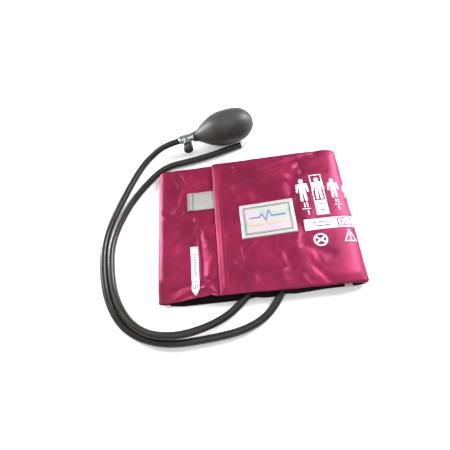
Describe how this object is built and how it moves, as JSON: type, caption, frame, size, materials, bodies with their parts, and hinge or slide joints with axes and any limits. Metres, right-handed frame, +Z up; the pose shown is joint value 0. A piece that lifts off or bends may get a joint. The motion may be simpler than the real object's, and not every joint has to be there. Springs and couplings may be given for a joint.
{
  "type": "blood pressure cuff",
  "caption": "Arm cuff rolled flat, with an air bladder, hook and loop closure, two rubber tubes, an air release valve and a hand bulb.",
  "frame": {"origin": "middle of the face that the rolled cuff rests on", "axes": "+X along the fold from the left fold to the right fold, +Y across the cuff from the edge the tubes leave to the back edge, +Z up"},
  "size_m": [0.29, 0.2891, 0.0446],
  "materials": {
    "burgundy_nylon": "satin woven nylon",
    "black_lining": "brushed nylon",
    "bladder_rubber": "matte",
    "black_rubber": "matte",
    "tube_rubber": "satin",
    "bulb_rubber": "matte",
    "grey_tape": "woven",
    "white_plastic": "gloss",
    "black_plastic": "moulded",
    "brass": "turned",
    "chrome": "polished",
    "steel": "bright",
    "hook_tape": "hook",
    "loop_pile": "pile",
    "burgundy_thread": "thread",
    "label_satin": "satin weave",
    "label_print": "woven",
    "white_print": "screen print",
    "grey_webbing": "webbing",
    "white_label": "satin weave",
    "grey_print": "screen print",
    "soft_seat": "matte"
  },
  "bodies": {
    "cuff_base": {"base_shell": "burgundy_nylon", "base_lining": "black_lining", "bladder": "bladder_rubber", "bladder_port_gauge": "black_rubber", "bladder_port_bulb": "black_rubber", "index_tape": "grey_tape", "right_fold_shell": "burgundy_nylon", "right_fold_lining": "black_lining", "left_fold_shell": "burgundy_nylon", "left_fold_lining": "black_lining", "gauge_tube": "tube_rubber", "bulb_tube": "tube_rubber", "gauge_connector": "white_plastic", "bulb": "bulb_rubber", "intake_housing": "black_plastic", "intake_retainer": "brass", "valve_body": "chrome", "neck_retainer": "brass", "knurled_collar": "chrome", "spring_clip": "steel"},
    "outer_flap": {"outer_flap_shell": "burgundy_nylon", "outer_flap_lining": "black_lining", "hook_strip": "hook_tape", "hem_stitching": "burgundy_thread", "label": "label_satin", "label_motif": "label_print", "size_chart": "white_print"},
    "inner_flap": {"inner_flap_shell": "burgundy_nylon", "inner_flap_lining": "black_lining", "loop_panel": "loop_pile", "gauge_strap": "grey_webbing", "artery_tag": "white_label", "artery_mark": "grey_print"},
    "needle": {"valve_needle": "soft_seat"},
    "screw": {"thumbscrew": "black_plastic"},
    "intake_valve_ball": {"intake_ball": "steel"},
    "neck_valve_ball": {"check_ball": "steel"}
  },
  "joints": [
    {"name": "outer_flap_fold", "type": "hinge", "parent": "cuff_base", "child": "outer_flap", "pos_m": [0.10355, 0, 0.00645], "axis": [0, 1, 0], "range_deg": [0, 178], "deforming": ["right_fold_shell", "right_fold_lining"]},
    {"name": "inner_flap_fold", "type": "hinge", "parent": "cuff_base", "child": "inner_flap", "pos_m": [-0.10505, 0, 0.00495], "axis": [0, -1, 0], "range_deg": [0, 107], "deforming": ["left_fold_shell", "left_fold_lining"]},
    {"name": "needle_feed", "type": "slide", "parent": "cuff_base", "child": "needle", "axis": [0.095, -0.9955, 0], "range_m": [0, 0.00105]},
    {"name": "thumbscrew_turn", "type": "hinge", "parent": "needle", "child": "screw", "pos_m": [-0.0711, 0.1277, 0.01668], "axis": [0.095, -0.9955, 0], "range_deg": [0, 540]},
    {"name": "intake_ball_lift", "type": "slide", "parent": "cuff_base", "child": "intake_valve_ball", "axis": [-0.9898, -0.0944, -0.1071], "range_m": [0, 0.0008]},
    {"name": "check_ball_lift", "type": "slide", "parent": "cuff_base", "child": "neck_valve_ball", "axis": [0.9898, 0.0944, 0.1071], "range_m": [0, 0.0008]}
  ],
  "couplings": [
    {"joint": "inner_flap_fold", "follows": "outer_flap_fold", "ratio": 0.6},
    {"joint": "thumbscrew_turn", "follows": "needle_feed", "rad_per_m": 8976}
  ]
}
